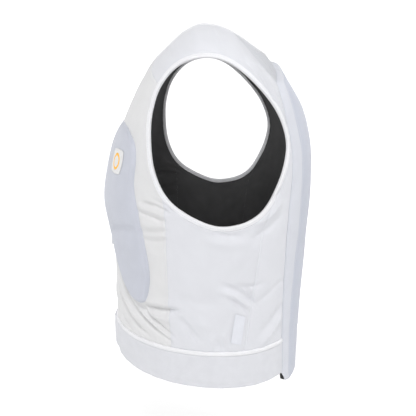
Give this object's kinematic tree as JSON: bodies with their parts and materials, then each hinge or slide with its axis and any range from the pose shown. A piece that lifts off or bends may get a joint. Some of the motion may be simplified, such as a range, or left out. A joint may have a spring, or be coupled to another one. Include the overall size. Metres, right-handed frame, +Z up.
{
  "type": "equestrian body protector",
  "caption": "Sleeveless riding vest with a padded back protector, chest pads and a lapped elastic waistband; its zip pull tab swings.",
  "frame": {"origin": "between the two points where the shoulders meet the neck opening, on the garment's middle plane", "axes": "+Z up along the wearer's back, the wearer faces -Y, the wearer's left is +X"},
  "size_m": [0.31, 0.2765, 0.4618],
  "materials": {
    "front_cloth": "soft matt knit, ivory white",
    "side_cloth": "soft matt knit, white",
    "pad_cloth": "matt knit over a pad, grey-blue",
    "cover_cloth": "matt knit over foam, grey-blue",
    "back_mesh": "open mesh, pale grey",
    "foam": "dark closed-cell foam",
    "waist_elastic": "knitted elastic, white",
    "binding": "tightly woven tape, white",
    "zip_tape": "woven tape with a bead of fine teeth, pale grey",
    "zip_hardware": "satin, light grey",
    "patch": "bare soft patch, white",
    "label": "bare satin label, white"
  },
  "bodies": {
    "garment": {"front_left": "front_cloth", "front_right": "front_cloth", "side_left": "side_cloth", "side_right": "side_cloth", "back_side_left": "side_cloth", "back_side_right": "side_cloth", "yoke_left": "side_cloth", "yoke_right": "side_cloth", "protector_cover": "cover_cloth", "protector_foam": "foam", "upper_back": "back_mesh", "chest_pad_left": "pad_cloth", "chest_pad_right": "pad_cloth", "waistband_left": "waist_elastic", "waistband_right": "waist_elastic", "waist_piping_left": "binding", "waist_piping_right": "binding", "armhole_binding_left": "binding", "armhole_binding_right": "binding", "neck_binding": "binding", "zip_tape_left": "zip_tape", "zip_tape_right": "zip_tape", "zip_slider": "zip_hardware", "chest_patch": "patch", "care_label": "label"},
    "pull_tab": {"zip_pull": "zip_hardware"}
  },
  "joints": [
    {"name": "pull_tab_swing", "type": "hinge", "parent": "garment", "child": "pull_tab", "pos_m": [0, -0.13482, -0.27412], "axis": [-1, 0, 0], "range_deg": [0, 150]}
  ]
}
